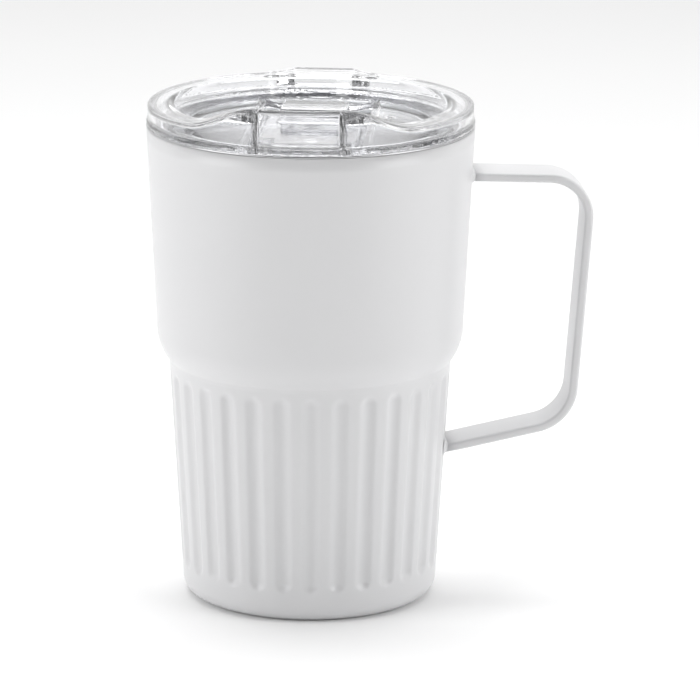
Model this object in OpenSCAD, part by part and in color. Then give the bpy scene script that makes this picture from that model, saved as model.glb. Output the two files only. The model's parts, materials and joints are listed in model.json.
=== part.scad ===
// Insulated drinking mug: a double-wall steel cup with a stepped, fluted outside,
// a flat strap handle and a clear press-in lid with a spout, a lift tab and a slider.
// Millimetres. Origin on the cup's axis, on the plane it stands on. +Z up, handle on +X.

/* [Cup] */
// Height of the cup without its lid
cup_h = 129.6; // [110:0.2:170]
// Outer radius at the rim
rim_r = 44; // [40:0.5:56]
// How far the upper section narrows from the rim to the shoulder
upper_taper = 2.7; // [0:0.1:5]
// Step from the upper section in to the fluted section under the shoulder
shoulder_step = 3.2; // [1:0.1:6]
// How far the fluted section narrows from the waist to the base
lower_taper = 3.7; // [0:0.1:6]
// Height of the crease under the shoulder
crease_z = 65.4; // [40:0.2:80]
// Radius of the rounded shoulder
shoulder_round = 14; // [8:0.5:20]
// Radius of the rounded base edge
base_round = 4.7; // [3:0.1:6]
// Thickness of the outer sheet steel
shell_t = 0.7; // [0.5:0.05:1]

/* [Flutes] */
// Number of pressed flutes
flute_count = 30; // [20:1:36]
// Width of a flute at the surface
flute_w = 4.6; // [3:0.1:5]
// Depth of a flute
flute_depth = 0.9; // [0.4:0.05:1]
// Height of the lower end of the flutes
flute_z0 = 8.6; // [7:0.2:20]
// Distance from the crease down to the upper end of the flutes
flute_gap = 2.6; // [1.5:0.1:8]
// Turn of the flute pattern about the axis
flute_turn = 2; // [0:0.5:12]

/* [Liner] */
// Thickness of the liner's sheet steel
liner_t = 0.7; // [0.5:0.05:1]
// Width of the bare rim, from the liner's mouth to the outer surface
rim_w = 2.1; // [1.8:0.1:3]
// Height of the drinking side of the liner's floor
floor_z = 9.6; // [8.6:0.2:14]
// Distance from the cup's outside in to the liner's inner side, at the base
liner_in_low = 5; // [4.4:0.2:8]
// Distance from the cup's outside in to the liner's inner side, at the crease
liner_in_mid = 2.9; // [2.6:0.1:6]
// Radius of the liner's floor corner
liner_round = 6; // [3:0.5:10]
// Radius of the welded floor disc
liner_disc_r = 20; // [14:0.5:22]

/* [Base and vacuum parts] */
// Radius of the opening in the shell's foot
foot_r = 26.5; // [18:0.5:28]
// Thickness of the base cover
cover_t = 0.7; // [0.5:0.05:1]
// Height of the vacuum bottom's underside
vac_z = 2.9; // [2.4:0.1:3.2]
// Thickness of the vacuum bottom
vac_t = 0.7; // [0.5:0.05:0.8]
// Radius of the pit that holds the sealing bead
pit_r = 5; // [4:0.5:8]
// Depth of the pit
pit_depth = 1.1; // [0.8:0.1:1.3]
// Radius of the evacuation hole
vent_r = 0.8; // [0.5:0.1:1.2]
// Radius of the getter pellet
getter_r = 4; // [3:0.5:5]
// Thickness of the getter pellet
getter_t = 1.6; // [1:0.2:2.2]
// Distance of the getter from the axis
getter_off = 14; // [11:0.5:18]

/* [Handle] */
// Width of the strap
strap_w = 13.4; // [10:0.2:20]
// Thickness of the strap
strap_t = 2.4; // [1.6:0.1:3.5]
// Distance from the axis to the middle of the strap at its upper corner
grip_top_x = 75.5; // [66:0.5:90]
// Distance from the axis to the middle of the strap at its lower corner
grip_low_x = 70.5; // [60:0.5:85]
// Distance from the rim down to the upper arm where it meets the cup
arm_drop = 14.1; // [10:0.1:24]
// Fall of the upper arm from the cup to its corner
arm_fall = 1.1; // [0:0.1:5]
// Height of the lower arm where it meets the cup
arm_low_z = 40.3; // [30:0.1:50]
// Rise of the lower arm from the cup to its corner
arm_rise = 7.2; // [0:0.1:12]
// Bend radius at the upper corner, to the middle of the strap
bend_top = 11; // [5:0.5:15]
// Bend radius at the lower corner, to the middle of the strap
bend_low = 12; // [5:0.5:15]
// Size of the weld beads
weld_r = 1.1; // [0.6:0.1:1.8]

/* [Lid] */
// Turn of the lid about the axis, away from square to the handle
lid_turn = -9; // [-45:0.5:45]
// Thickness of the lid's walls
lid_t = 2; // [1.6:0.1:2.4]
// Thickness of the ring's and spout's top
top_t = 1.3; // [1:0.1:2.4]
// Height of the lid's ring above the cup's rim
ring_h = 5.6; // [4.6:0.1:9]
// Width of the ring's flat top
ring_w = 6.8; // [5.5:0.1:9]
// Height of the spout above the cup's rim
spout_h = 11.8; // [8:0.1:16]
// Half width of the spout's level top
spout_flat = 11; // [6:0.5:14]
// Length of the ramp on each side of the spout
spout_ramp = 20; // [12:0.5:24]
// Thickness of the flange that rests on the rim
flange_t = 1.2; // [0.8:0.1:2]
// Step from the flange in to the ring's wall
flange_step = 0.3; // [0:0.05:1]
// Depth of the recess floor below the cup's rim
recess_depth = 0.7; // [0:0.1:1.6]
// How far the recess narrows from the ring's top to its floor
recess_in = 5.1; // [3:0.1:9]
// Length of the skirt inside the cup's mouth
skirt_len = 10; // [8:0.2:14]
// Thickness of the skirt
skirt_t = 2.4; // [2:0.1:3]
// Clearance between the skirt's foot and the liner
skirt_gap = 0.25; // [0.15:0.05:0.6]
// Gap between the lid's flange and the cup's rim
seat_gap = 0.03; // [0.01:0.01:0.1]

/* [Lid details] */
// Half width of the lift tab at its outer edge
tab_half = 8.3; // [6:0.1:12]
// How far the lift tab stands out past the ring
tab_out = 5; // [3:0.1:8]
// Thickness of the lift tab
tab_t = 4.6; // [1.6:0.1:5.4]
// Width of the slider's channel
channel_w = 29.4; // [24:0.2:32]
// Depth of the channel below the recess floor
channel_depth = 2.75; // [2.2:0.05:4]
// Distance from the edge of the recess floor in to the channel's back end
back_edge = 2.8; // [1:0.1:6]
// Distance from the edge of the recess floor in to the channel's shoulders
mid_edge = 2.8; // [1:0.1:6]
// Distance from the skirt's outside in to the channel's front end
front_edge = 4.4; // [4.4:0.1:8]
// Width of the channel ahead of its shoulders
nose_w = 21.4; // [18:0.2:24]
// Thickness of the spout's wall in front of the pouring pocket
pour_wall = 2.5; // [1.8:0.1:4]
// Thickness of the pouring pocket's side walls
pour_side = 1; // [0.8:0.1:2]
// Width of the drink opening
drink_w = 14; // [8:0.2:16]
// Length of the drink opening
drink_l = 9.5; // [6:0.1:11]
// Distance from the channel's front end to the drink opening
drink_edge = 2.6; // [1.5:0.1:4]
// Radius of the drink opening's corners
drink_corner = 2.5; // [0.5:0.1:3]
// Radius of the air hole
air_r = 1; // [0.6:0.1:2]
// Distance from the channel's wall out to the air hole's middle
air_x = 4; // [2.5:0.5:8]
// Distance from the axis back to the air hole's middle
air_y = 12.7; // [4:0.1:20]

/* [Seal] */
// Depth of the seal's groove in the skirt
groove_depth = 1.1; // [0.8:0.1:1.4]
// Height of the seal's groove
groove_h = 3.4; // [2.6:0.1:4.4]
// Distance from the rim down to the groove
groove_drop = 3.2; // [2.6:0.1:4]
// Clearance between the seal and its groove
groove_gap = 0.05; // [0.02:0.01:0.1]
// Clearance between the seal's lips and the liner
lip_gap = 0.06; // [0.02:0.01:0.1]

/* [Slider] */
// Clearance between the slider and its channel, each side
slider_side = 1.7; // [0.3:0.1:2]
// Clearance between the closed slider and the channel's rounded front
front_gap = 0.5; // [0.3:0.1:0.8]
// Clearance between the slider and the channel's floor
slider_gap = 0.15; // [0.05:0.05:0.3]
// Thickness of the slider's plate
slider_t = 1.7; // [1.2:0.1:2.2]
// Travel of the slider from open to closed
slider_travel = 15; // [12:0.5:16]
// How far the plate reaches past the drink opening on every side
slider_lap = 1.6; // [1:0.1:2.4]
// Distance from the axis back to the thumb ridge's end
ridge_back = 20; // [16:0.5:24]
// How far the plate reaches back past the thumb ridge
slider_tail = 0.8; // [0.5:0.1:4]
// Width of the thumb ridge
ridge_w = 18.2; // [12:0.2:22]
// Length of the thumb ridge
ridge_l = 12; // [8:0.5:14]
// Height of the thumb ridge above the cup's rim
ridge_h = 2.1; // [1:0.1:4]
// Width of the slider's stem
stem_w = 6; // [4:0.5:8]
// Length of the slider's stem
stem_l = 6; // [4:0.5:8]
// Clearance between the stem and its slot
stem_gap = 0.4; // [0.2:0.1:0.8]
// Thickness of the clip under the channel
clip_t = 1.6; // [1.2:0.1:2]
// How far the clip reaches past the slot on each side
clip_lap = 3; // [2:0.2:5]

/* [Hidden] */
$fn = 96;
far = 200; // reaches past the whole object, for cutting blocks
eps = 0.01; // overrun of a cut through a face

// Outer surface of the cup
lower_a = atan(lower_taper / (crease_z - base_round));
shoulder_drop = sqrt(pow(shoulder_round, 2) - pow(shoulder_round - shoulder_step, 2));
shoulder_z = crease_z + shoulder_drop; // centre of the shoulder's curve
upper_a = atan(upper_taper / (cup_h - shoulder_z));
shoulder_r = rim_r - upper_taper; // outer radius just above the shoulder
waist_r = shoulder_r - shoulder_step; // outer radius at the crease
base_r = waist_r - lower_taper; // outer radius just above the base edge
shoulder_x = shoulder_r - shoulder_round * cos(upper_a);
lower_z0 = base_round * (1 - sin(lower_a)); // where the straight lower wall begins
upper_z0 = shoulder_z - shoulder_round * sin(upper_a); // where the straight upper wall begins
lip_t = rim_w / 3; // thickness of the bare rolled rim

// Flutes
flute_r = (flute_w * flute_w / 4 + flute_depth * flute_depth) / (2 * flute_depth);
flute_z1 = crease_z - flute_gap;
flute_end = flute_w / 2; // height of a flute's rounded end

// Liner
mouth_r = rim_r - rim_w;
liner_r0 = base_r - liner_in_low; // inner radius at the floor
liner_r1 = waist_r - liner_in_mid; // inner radius at the crease
liner_a = atan((liner_r1 - liner_r0) / (crease_z - floor_z));
liner_b = atan((mouth_r - liner_r1) / (cup_h - crease_z));

// Handle, in the plane of the cup's axis: outline points of the middle of the strap
arm_top_z = cup_h - arm_drop;
corner_top = [grip_top_x, arm_top_z - arm_fall];
corner_low = [grip_low_x, arm_low_z + arm_rise];
end_top = [shell_r(arm_top_z) - 1, arm_top_z];
end_low = [shell_r(arm_low_z) - 1, arm_low_z];

// Lid
wall_r = rim_r - flange_step;
recess_r = wall_r - ring_w - recess_in; // radius of the recess floor
recess_slope = recess_in / (ring_h + recess_depth);
cone_t = lid_t * sqrt(1 + recess_slope * recess_slope); // wall of the recess, measured level
skirt_r = liner_r(cup_h - skirt_len) - skirt_gap;
groove_z0 = -groove_drop - groove_h;
channel_z = -recess_depth - channel_depth;
channel_back = recess_r - back_edge;
channel_mid = recess_r - mid_edge; // where the channel narrows to its nose
channel_front = skirt_r - front_edge;

// Slider, in the lid's own frame
drink_y0 = -channel_front + drink_edge;
drink_y1 = drink_y0 + drink_l;
plate_w = channel_w - 2 * slider_side;
plate_y0 = drink_y0 - slider_lap + slider_travel;
plate_y1 = ridge_back + slider_tail;
plate_mid = front_gap - channel_mid + slider_travel; // where the plate narrows to its nose
plate_z0 = channel_z + slider_gap;
stem_y1 = 7;
stem_y0 = stem_y1 - stem_l;
clip_z1 = channel_z - lid_t - slider_gap;

// Outer radius of the cup at a height, without its rounded edges
function shell_r(z) = z < crease_z
    ? base_r + (z - lower_z0) * lower_taper / (crease_z - lower_z0)
    : shoulder_r + max(0, z - upper_z0) * upper_taper / (cup_h - upper_z0);

// Inner radius of the liner at a height
function liner_r(z) = z < crease_z
    ? liner_r0 + (z - floor_z) * tan(liner_a)
    : liner_r1 + (z - crease_z) * tan(liner_b);

// Radius of the recess in the lid at a height above the rim
function recess_at(z) = recess_r + (z + recess_depth) * recess_slope;

// Height of the lid's top edge across its width
function spout_z(x) = ring_h + (spout_h - ring_h)
    * (1 + cos(180 * min(1, max(0, (abs(x) - spout_flat) / spout_ramp)))) / 2;

// Half section of the cup's outside, drawn inward by an inset
module cup_half(inset, top) {
    r0 = base_round - inset;
    foot_x = base_r - base_round * cos(lower_a);
    a = lower_a;
    polygon([[0, inset], [foot_x, inset], [foot_x + r0 * cos(a), base_round - r0 * sin(a)],
             [waist_r - inset / cos(a), crease_z], [0, crease_z]]);
    translate([foot_x, base_round]) circle(r = r0);
    r1 = shoulder_round - inset;
    b = upper_a;
    polygon([[0, crease_z - eps], [shoulder_x, crease_z - eps],
             [shoulder_x + r1 * cos(b), shoulder_z - r1 * sin(b)],
             [rim_r - inset / cos(b), cup_h], [rim_r - inset / cos(b), top], [0, top]]);
    intersection() {
        translate([shoulder_x, shoulder_z]) circle(r = r1);
        translate([0, crease_z - inset]) square([rim_r, shoulder_round + inset]);
    }
}

// One flute, grown by the sheet's thickness for its inner side
module flute(grow) {
    r = flute_r + grow;
    lift = flute_r - flute_depth;
    z0 = flute_z0 + flute_end;
    z1 = flute_z1 - flute_end;
    x0 = shell_r(z0) + lift;
    run = (z1 - z0) / cos(lower_a);
    translate([x0, 0, z0]) rotate([0, lower_a, 0]) {
        cylinder(r = r, h = run);
        sphere(r = r);
        translate([0, 0, run]) sphere(r = r);
    }
}

module flutes(grow) {
    step = 360 / flute_count;
    for (i = [0 : flute_count - 1]) rotate([0, 0, flute_turn + i * step]) flute(grow);
}

// Pressed outer sheet: rim to foot, open at the mouth and in the foot
module outer_shell() {
    color("white") difference() {
        rotate_extrude() intersection() {
            cup_half(0, cup_h);
            square([far, cup_h - lip_t]);
        }
        flutes(0);
        difference() {
            rotate_extrude() cup_half(shell_t, cup_h + 1);
            flutes(shell_t);
        }
        translate([0, 0, -1]) cylinder(r = foot_r, h = shell_t + 2);
    }
}

// Disc that closes the vacuum space, with a pit for the sealing bead
module shell_bottom() {
    color("silver") difference() {
        union() {
            intersection() {
                rotate_extrude() cup_half(shell_t, cup_h);
                translate([0, 0, vac_z]) cylinder(r = far, h = vac_t);
            }
            translate([0, 0, vac_z]) cylinder(r = pit_r + vac_t, h = vac_t + pit_depth);
        }
        translate([0, 0, vac_z - 1]) cylinder(r = pit_r, h = pit_depth + 1);
        translate([0, 0, vac_z - 1]) cylinder(r = vent_r, h = vac_t + pit_depth + 2);
    }
}

// Bead that seals the evacuation hole
module vacuum_seal() {
    color("dimgray") intersection() {
        translate([0, 0, vac_z]) cylinder(r = pit_r - 1, h = pit_depth);
        translate([0, 0, vac_z + pit_depth + 5]) sphere(r = 5 + pit_depth);
    }
}

// Visible disc under the cup
module base_cover() {
    color("white") cylinder(r = foot_r, h = cover_t);
}

// Pellet that keeps the vacuum
module getter() {
    color("gray") translate([getter_off, 0, vac_z + vac_t]) cylinder(r = getter_r, h = getter_t);
}

// Ring clip with two ears, welded to the vacuum bottom round the getter
module getter_clip() {
    ear_w = 3;
    color("silver") translate([getter_off, 0, vac_z + vac_t]) difference() {
        union() {
            cylinder(r = getter_r + 0.5, h = getter_t + 0.3);
            translate([-ear_w / 2, -getter_r - 3, 0]) cube([ear_w, 2 * getter_r + 6, 0.4]);
        }
        translate([0, 0, -1]) cylinder(r = getter_r, h = getter_t + 1);
        translate([0, 0, -1]) cylinder(r = getter_r - 1, h = getter_t + 3);
    }
}

// Half section of the drink's space, drawn outward by the liner's thickness
module liner_half(grow, top) {
    a = liner_a;
    r = liner_round + grow;
    corner_z = floor_z + liner_round;
    corner_x = liner_r(corner_z) - liner_round / cos(a);
    polygon([[0, floor_z - grow], [corner_x, floor_z - grow],
             [corner_x + r * cos(a), corner_z - r * sin(a)],
             [liner_r1 + grow / cos(a), crease_z],
             [liner_r(top) + grow / cos(liner_b), top], [0, top]]);
    translate([corner_x, corner_z]) circle(r = r);
}

// Liner with its rolled bare rim, open where the floor disc is welded in
module liner_wall() {
    color("lightgray") difference() {
        union() {
            rotate_extrude() liner_half(liner_t, cup_h - lip_t / 2);
            translate([0, 0, cup_h - lip_t]) cylinder(r = rim_r - lip_t / 2, h = lip_t);
            translate([0, 0, cup_h - lip_t / 2]) rotate_extrude()
                translate([rim_r - lip_t / 2, 0]) circle(r = lip_t / 2);
        }
        rotate_extrude() liner_half(0, cup_h + 1);
        translate([0, 0, floor_z - liner_t - 1]) cylinder(r = liner_disc_r, h = liner_t + 2);
    }
}

module liner_bottom() {
    color("lightgray") translate([0, 0, floor_z - liner_t])
        cylinder(r = liner_disc_r, h = liner_t);
}

// Straight run of strap between two points of the handle's plane
module strap_run(a, b) {
    d = b - a;
    translate(a) rotate(atan2(d[1], d[0])) translate([0, -strap_t / 2])
        square([norm(d) + eps, strap_t]);
}

// Unit vector from one point to another
function toward(a, b) = (b - a) / norm(b - a);

// Distance from a corner to where its bend begins
function cut_back(a, c, b, r) =
    r / tan(acos(toward(c, a) * toward(c, b)) / 2);

// Centre of the bend at a corner
function bend_at(a, c, b, r) = let (u = toward(c, a), v = toward(c, b))
    c + (u + v) / norm(u + v) * r / sin(acos(u * v) / 2);

// Rounded bend at a corner c between points a and b
module strap_bend(a, c, b, r) {
    o = bend_at(a, c, b, r);
    p = c + toward(c, a) * cut_back(a, c, b, r);
    q = c + toward(c, b) * cut_back(a, c, b, r);
    intersection() {
        translate(o) difference() {
            circle(r = r + strap_t / 2);
            circle(r = r - strap_t / 2);
        }
        polygon([o, o + (p - o) * 2, o + (c - o) * 2, o + (q - o) * 2]);
    }
}

module strap_side() {
    t1 = cut_back(end_top, corner_top, corner_low, bend_top);
    t2 = cut_back(corner_top, corner_low, end_low, bend_low);
    strap_run(end_top, corner_top + toward(corner_top, end_top) * t1);
    strap_bend(end_top, corner_top, corner_low, bend_top);
    strap_run(corner_top + toward(corner_top, corner_low) * t1,
              corner_low + toward(corner_low, corner_top) * t2);
    strap_bend(corner_top, corner_low, end_low, bend_low);
    strap_run(end_low, corner_low + toward(corner_low, end_low) * t2);
}

module strap() {
    translate([0, strap_w / 2, 0]) rotate([90, 0, 0])
        linear_extrude(height = strap_w) strap_side();
}

module handle() {
    color("white") difference() {
        strap();
        rotate_extrude() cup_half(0, cup_h);
    }
}

// Weld beads above and below the strap's ends, where they meet the cup
module handle_welds() {
    half = strap_w / 2 - 0.8;
    color("white") for (arm = [[end_top, corner_top], [end_low, corner_low]], s = [-1, 1]) {
        dir = toward(arm[0], arm[1]);
        slope = dir[1] / dir[0];
        z0 = arm[0][1] + slope + s * strap_t / 2 / dir[0];
        z1 = z0 + s * weld_r;
        difference() {
            intersection() {
                rotate_extrude() polygon([[shell_r(z0), z0], [shell_r(z0) + weld_r, z0 + slope * weld_r],
                                          [shell_r(z1), z1]]);
                translate([0, -half, 0]) cube([far, 2 * half, far]);
            }
            strap();
        }
    }
}

// Places a child in the lid's own frame: on the rim, spout towards -Y
module at_lid() {
    translate([0, 0, cup_h + seat_gap]) rotate([0, 0, lid_turn]) children();
}

// Everything under the lid's top edge, lowered by a drop
module under_edge(drop) {
    half = spout_flat + spout_ramp;
    steps = 16;
    xs = [for (i = [0 : steps]) spout_flat + spout_ramp * i / steps];
    right = [for (i = [steps : -1 : 0]) [xs[i], spout_z(xs[i]) - drop]];
    left = [for (x = xs) [-x, spout_z(x) - drop]];
    rotate([90, 0, 0]) linear_extrude(height = far)
        polygon(concat([[half, -far]], right, left, [[-half, -far]]));
}

// Outside of the ring and spout, drawn inward by an inset and lowered by a drop
module ring_mass(inset, drop) {
    cylinder(r = wall_r - inset, h = ring_h - drop);
    intersection() {
        cylinder(r = wall_r - inset, h = spout_h);
        under_edge(drop);
    }
}

// Open recess in the lid, drawn outward by a wall
module recess(grow, level) {
    z0 = -recess_depth - grow;
    z1 = spout_h + 1;
    translate([0, 0, z0]) cylinder(r1 = recess_at(z0) + level, r2 = recess_at(z1) + level, h = z1 - z0);
}

// Slider's channel with its narrow rounded front, drawn outward by a wall
module channel(grow, front) {
    h = -channel_z - recess_depth + grow + 1;
    translate([-channel_w / 2 - grow, -channel_mid - grow, channel_z - grow])
        cube([channel_w + 2 * grow, channel_mid + channel_back + 2 * grow, h]);
    intersection() {
        translate([-nose_w / 2 - grow, -far, channel_z - grow])
            cube([nose_w + 2 * grow, far, flange_t + eps + grow - channel_z]);
        translate([0, 0, channel_z - grow]) cylinder(r = front, h = far);
    }
}

// Pouring pocket behind the spout, over the narrow front of the channel, drawn outward by a wall
module pour_pocket(grow) {
    intersection() {
        translate([-nose_w / 2 - grow, -far, flange_t - grow])
            cube([nose_w + 2 * grow, far - recess_r / 2, far]);
        translate([0, 0, flange_t - grow]) cylinder(r = wall_r - pour_wall + grow, h = far);
    }
}

// Rectangle with rounded corners, centred on X and starting at y0
module round_block(w, y0, l, r, z0, h) {
    translate([0, 0, z0]) linear_extrude(height = h) {
        translate([-w / 2 + r, y0]) square([w - 2 * r, l]);
        translate([-w / 2, y0 + r]) square([w, l - 2 * r]);
        for (x = [-w / 2 + r, w / 2 - r], y = [y0 + r, y0 + l - r]) translate([x, y]) circle(r = r);
    }
}

// Outline of the lift tab, from inside the ring to its outer edge
module tab_outline(out) {
    root = tab_half + tab_out;
    y1 = wall_r + out;
    polygon([[-root - 2, 0], [root + 2, 0], [root + 2, wall_r * cos(asin(root / wall_r)) - 2],
             [tab_half, y1], [-tab_half, y1],
             [-root - 2, wall_r * cos(asin(root / wall_r)) - 2]]);
}

module lid_tab() {
    translate([0, 0, ring_h - tab_t]) linear_extrude(height = tab_t) tab_outline(tab_out);
}

module lid_body() {
    slot_w = stem_w + 2 * stem_gap;
    slot_l = stem_l + slider_travel + 2 * stem_gap;
    color("aliceblue", 0.4) at_lid() difference() {
        union() {
            ring_mass(0, 0);
            cylinder(r = rim_r, h = flange_t);
            lid_tab();
            translate([0, 0, -skirt_len]) cylinder(r = skirt_r, h = skirt_len + eps);
        }
        // Recess and channel from above
        recess(0, 0);
        channel(0, channel_front);
        pour_pocket(0);
        // Hollow from below, kept clear of the recess and channel by a wall
        difference() {
            union() {
                translate([0, 0, -skirt_len - 1]) cylinder(r = skirt_r - skirt_t, h = skirt_len + 2);
                intersection() {
                    ring_mass(lid_t, top_t);
                    translate([0, 0, flange_t]) cylinder(r = far, h = far);
                }
                cylinder(r = skirt_r - skirt_t, h = ring_h - top_t);
            }
            recess(lid_t, cone_t);
            channel(lid_t, skirt_r);
            pour_pocket(pour_side);
        }
        // Drink opening, slider slot, air hole and seal groove
        round_block(drink_w, drink_y0, drink_l, drink_corner, channel_z - lid_t - 1, lid_t + 2);
        round_block(slot_w, stem_y0 - slider_travel - stem_gap, slot_l, 1, channel_z - lid_t - 1, lid_t + 2);
        translate([channel_w / 2 + lid_t + air_x, air_y, -recess_depth - lid_t - 1])
            cylinder(r = air_r, h = lid_t + 2);
        translate([0, 0, groove_z0]) difference() {
            cylinder(r = skirt_r + 1, h = groove_h);
            translate([0, 0, -1]) cylinder(r = skirt_r - groove_depth, h = groove_h + 2);
        }
    }
}

// Soft ring with two lips in the skirt's groove
module lid_seal() {
    lip = 0.6;
    z0 = groove_z0 + groove_gap;
    h = groove_h - 2 * groove_gap;
    inner = skirt_r - groove_depth + groove_gap;
    color("gainsboro") at_lid() rotate_extrude() {
        translate([inner, z0]) square([skirt_r + 0.1 - inner, h]);
        for (z = [z0 + lip, z0 + h - lip])
            translate([liner_r(cup_h + z) - lip_gap / cos(liner_b) - lip / cos(liner_b), z])
                circle(r = lip);
    }
}

module slider() {
    color("aliceblue", 0.5) at_lid() {
        round_block(plate_w, plate_mid, plate_y1 - plate_mid, 2, plate_z0, slider_t);
        intersection() {
            round_block(nose_w - 2 * slider_side, plate_y0, plate_mid + 5 - plate_y0, 2, plate_z0, slider_t);
            translate([0, slider_travel, plate_z0 - 1])
                cylinder(r = channel_front - front_gap, h = slider_t + 2);
        }
        round_block(ridge_w, ridge_back - ridge_l, ridge_l, 2, plate_z0, ridge_h - plate_z0);
        round_block(stem_w, stem_y0, stem_l, 1, clip_z1, plate_z0 - clip_z1 + eps);
        round_block(stem_w - 2, stem_y0 + 1, stem_l - 2, 1, clip_z1 - clip_t, clip_t + eps);
    }
}

// Clip that holds the slider down, snapped on its stem
module slider_clip() {
    w = stem_w + 2 * (stem_gap + clip_lap);
    color("aliceblue", 0.5) at_lid() difference() {
        round_block(w, stem_y0 - 2, stem_l + 4, 1.5, clip_z1 - clip_t, clip_t);
        round_block(stem_w - 2, stem_y0 + 1, stem_l - 2, 1, clip_z1 - clip_t - 1, clip_t + 2);
    }
}

outer_shell();
shell_bottom();
base_cover();
vacuum_seal();
getter();
getter_clip();
liner_wall();
liner_bottom();
handle();
handle_welds();
lid_seal();
lid_body();
slider();
slider_clip();
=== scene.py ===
"""Finished looks of an insulated mug with a clear press-in lid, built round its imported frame."""

import json
import math

import bpy
import numpy as np
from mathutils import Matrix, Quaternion, Vector


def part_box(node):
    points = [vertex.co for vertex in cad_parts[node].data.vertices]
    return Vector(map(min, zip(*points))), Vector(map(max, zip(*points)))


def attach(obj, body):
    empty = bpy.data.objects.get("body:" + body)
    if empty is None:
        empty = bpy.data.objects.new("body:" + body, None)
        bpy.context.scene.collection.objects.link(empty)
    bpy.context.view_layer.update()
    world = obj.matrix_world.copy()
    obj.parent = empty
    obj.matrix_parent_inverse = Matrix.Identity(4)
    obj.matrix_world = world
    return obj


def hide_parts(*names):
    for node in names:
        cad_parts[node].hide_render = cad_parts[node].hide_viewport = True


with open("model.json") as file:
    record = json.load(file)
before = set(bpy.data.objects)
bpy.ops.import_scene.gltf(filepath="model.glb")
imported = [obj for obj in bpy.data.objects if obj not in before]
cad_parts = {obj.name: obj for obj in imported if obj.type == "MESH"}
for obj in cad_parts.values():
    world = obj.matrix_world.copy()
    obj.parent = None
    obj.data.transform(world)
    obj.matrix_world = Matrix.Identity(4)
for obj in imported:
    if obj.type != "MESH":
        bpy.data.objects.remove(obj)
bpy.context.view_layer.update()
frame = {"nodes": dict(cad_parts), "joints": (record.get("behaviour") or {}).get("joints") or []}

bl_info = {
    "name": "Insulated Mug",
    "version": (1, 0, 0),
    "blender": (4, 5, 0),
    "location": "3D View > Sidebar > Mug",
    "description": "Builds an insulated mug with a flat strap handle and a clear sliding lid",
    "category": "Add Mesh",
}

RIM_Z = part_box("liner_wall")[1].z
RIM_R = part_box("liner_wall")[1].y
FOOT_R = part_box("base_cover")[1].x
LID_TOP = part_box("lid_body")[1].z
HANDLE_LOW, HANDLE_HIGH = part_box("handle")
SLIDE_AXIS = Vector(next(j["axis"] for j in frame["joints"] if j["name"] == "slider_slide"))
LID_TURN = math.atan2(SLIDE_AXIS.x, -SLIDE_AXIS.y)
MM = 0.001


def length(label, text, value):
    """A length property with a label, a tooltip and a default in metres."""
    return bpy.props.FloatProperty(name=label, description=text, default=value, unit="LENGTH", precision=5)


def number(label, text, value):
    """A plain number property with a label, a tooltip and a default."""
    return bpy.props.FloatProperty(name=label, description=text, default=value)


def rotation(label, text, degrees):
    """An angle property with a label, a tooltip and a default in degrees."""
    return bpy.props.FloatProperty(
        name=label, description=text, default=math.radians(degrees), subtype="ANGLE"
    )


def colour(label, text, value):
    """A colour property with a label, a tooltip and a default."""
    return bpy.props.FloatVectorProperty(
        name=label, description=text, default=value, size=3, min=0.0, max=1.0, subtype="COLOR"
    )


class CupSizes(bpy.types.PropertyGroup):
    """Sizes of the steel cup."""

    upper_taper: length("Upper taper", "How far the upper section narrows down to the shoulder", 2.7 * MM)
    waist_radius: length("Waist radius", "Outer radius of the fluted section under the shoulder", 38.1 * MM)
    lower_taper: length("Lower taper", "How far the fluted section narrows to the base", 3.7 * MM)
    crease_height: length("Crease height", "Height of the crease under the shoulder", 65.4 * MM)
    shoulder_round: length("Shoulder radius", "Radius of the rounded shoulder", 14 * MM)
    crease_round: length("Crease radius", "Radius of the hollow curve in the crease", 1.6 * MM)
    base_round: length("Base radius", "Radius of the rounded base edge", 4.7 * MM)
    sheet: length("Sheet thickness", "Thickness of the steel sheet", 0.7 * MM)
    flute_count: bpy.props.IntProperty(name="Flutes", description="Number of pressed flutes", default=30)
    flute_width: length("Flute width", "Width of a flute at the surface", 4.6 * MM)
    flute_depth: length("Flute depth", "Depth of a flute", 0.9 * MM)
    flute_low: length("Flute foot", "Height of the lower end of the flutes", 8.6 * MM)
    flute_high: length("Flute head", "Height of the upper end of the flutes", 62.8 * MM)
    flute_turn: rotation("Flute turn", "Turn of the flute pattern", 2)
    rim_width: length("Rim width", "Width of the bare rolled rim", 2.1 * MM)
    floor_height: length("Floor height", "Height of the liner's floor", 9.6 * MM)
    floor_radius: length("Floor radius", "Inner radius of the liner at its floor", 29.4 * MM)
    floor_round: length("Floor corner", "Radius of the liner's floor corner", 6 * MM)


class HandleSizes(bpy.types.PropertyGroup):
    """Sizes of the strap handle."""

    thickness: length("Thickness", "Thickness of the strap", 2.4 * MM)
    edge: length("Edge", "Rounding of the strap's edges", 0.75 * MM)
    top_reach: length("Upper reach", "Distance from the axis to the upper corner", 75.5 * MM)
    low_reach: length("Lower reach", "Distance from the axis to the lower corner", 70.5 * MM)
    top_height: length("Upper height", "Height of the upper arm at the cup", 115.5 * MM)
    top_fall: length("Upper fall", "Fall of the upper arm to its corner", 1.1 * MM)
    low_height: length("Lower height", "Height of the lower arm at the cup", 40.3 * MM)
    low_rise: length("Lower rise", "Rise of the lower arm to its corner", 7.2 * MM)
    top_bend: length("Upper bend", "Bend radius at the upper corner", 11 * MM)
    low_bend: length("Lower bend", "Bend radius at the lower corner", 12 * MM)
    weld: length("Weld", "Size of the weld bead round the strap's ends", 1.1 * MM)


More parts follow.
